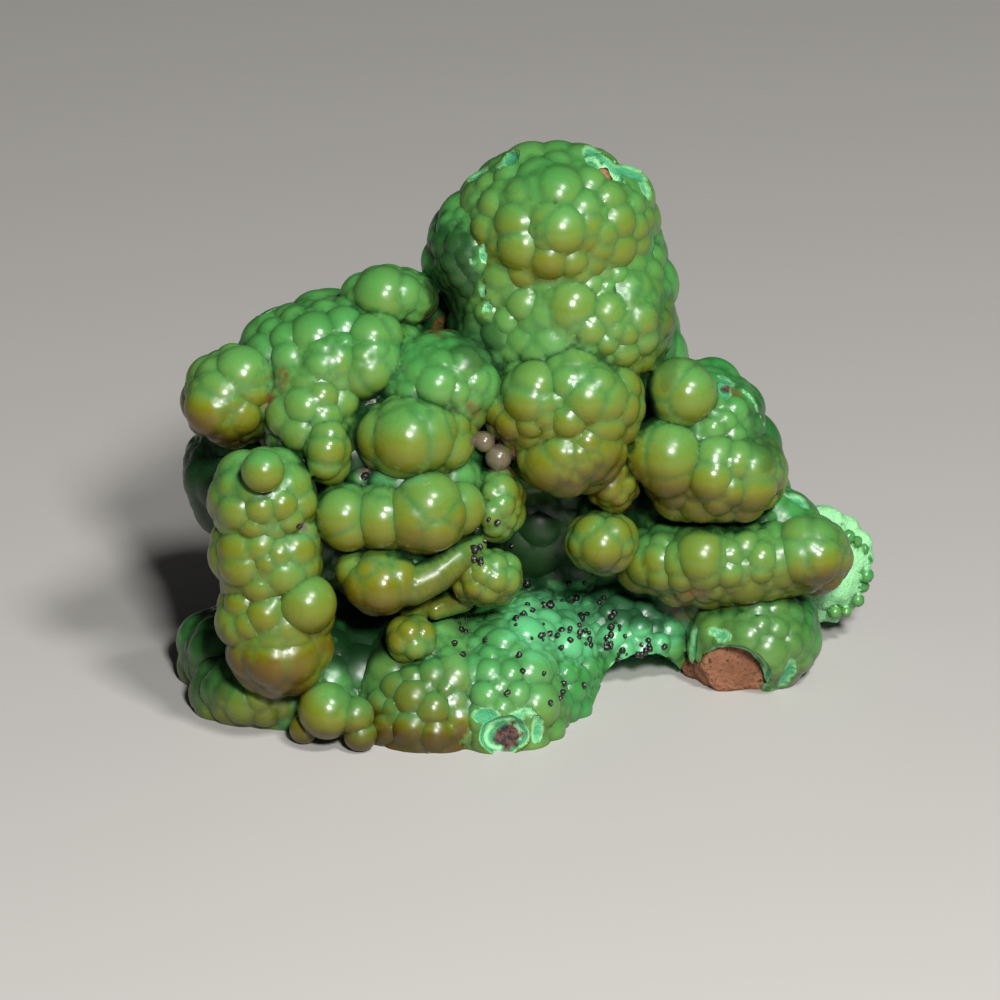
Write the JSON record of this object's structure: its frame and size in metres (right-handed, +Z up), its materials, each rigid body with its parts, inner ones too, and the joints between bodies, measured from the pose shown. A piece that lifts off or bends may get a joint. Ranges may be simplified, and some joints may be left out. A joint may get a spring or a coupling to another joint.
{
  "type": "botryoidal malachite specimen",
  "caption": "Cabinet mineral specimen: glossy green botryoidal malachite in fused lobes and lumps, broken at the rims, over a red-brown matrix rock, standing on a flat base.",
  "frame": {"origin": "middle of the bounding box, at the flat the specimen stands on", "axes": "+Z up, +Y back towards the broken rock side, so the lumpy face looks along -Y; +X to the viewer's right"},
  "size_m": [0.1001, 0.0516, 0.08],
  "materials": {
    "malachite": "glossy, waxy green lumps with an olive tint; paler mint green and dull where it is broken",
    "ironstone": "rough, dull red-brown broken rock"
  },
  "bodies": {
    "root": {"malachite_crust": "malachite", "matrix_rock": "ironstone"}
  },
  "joints": []
}
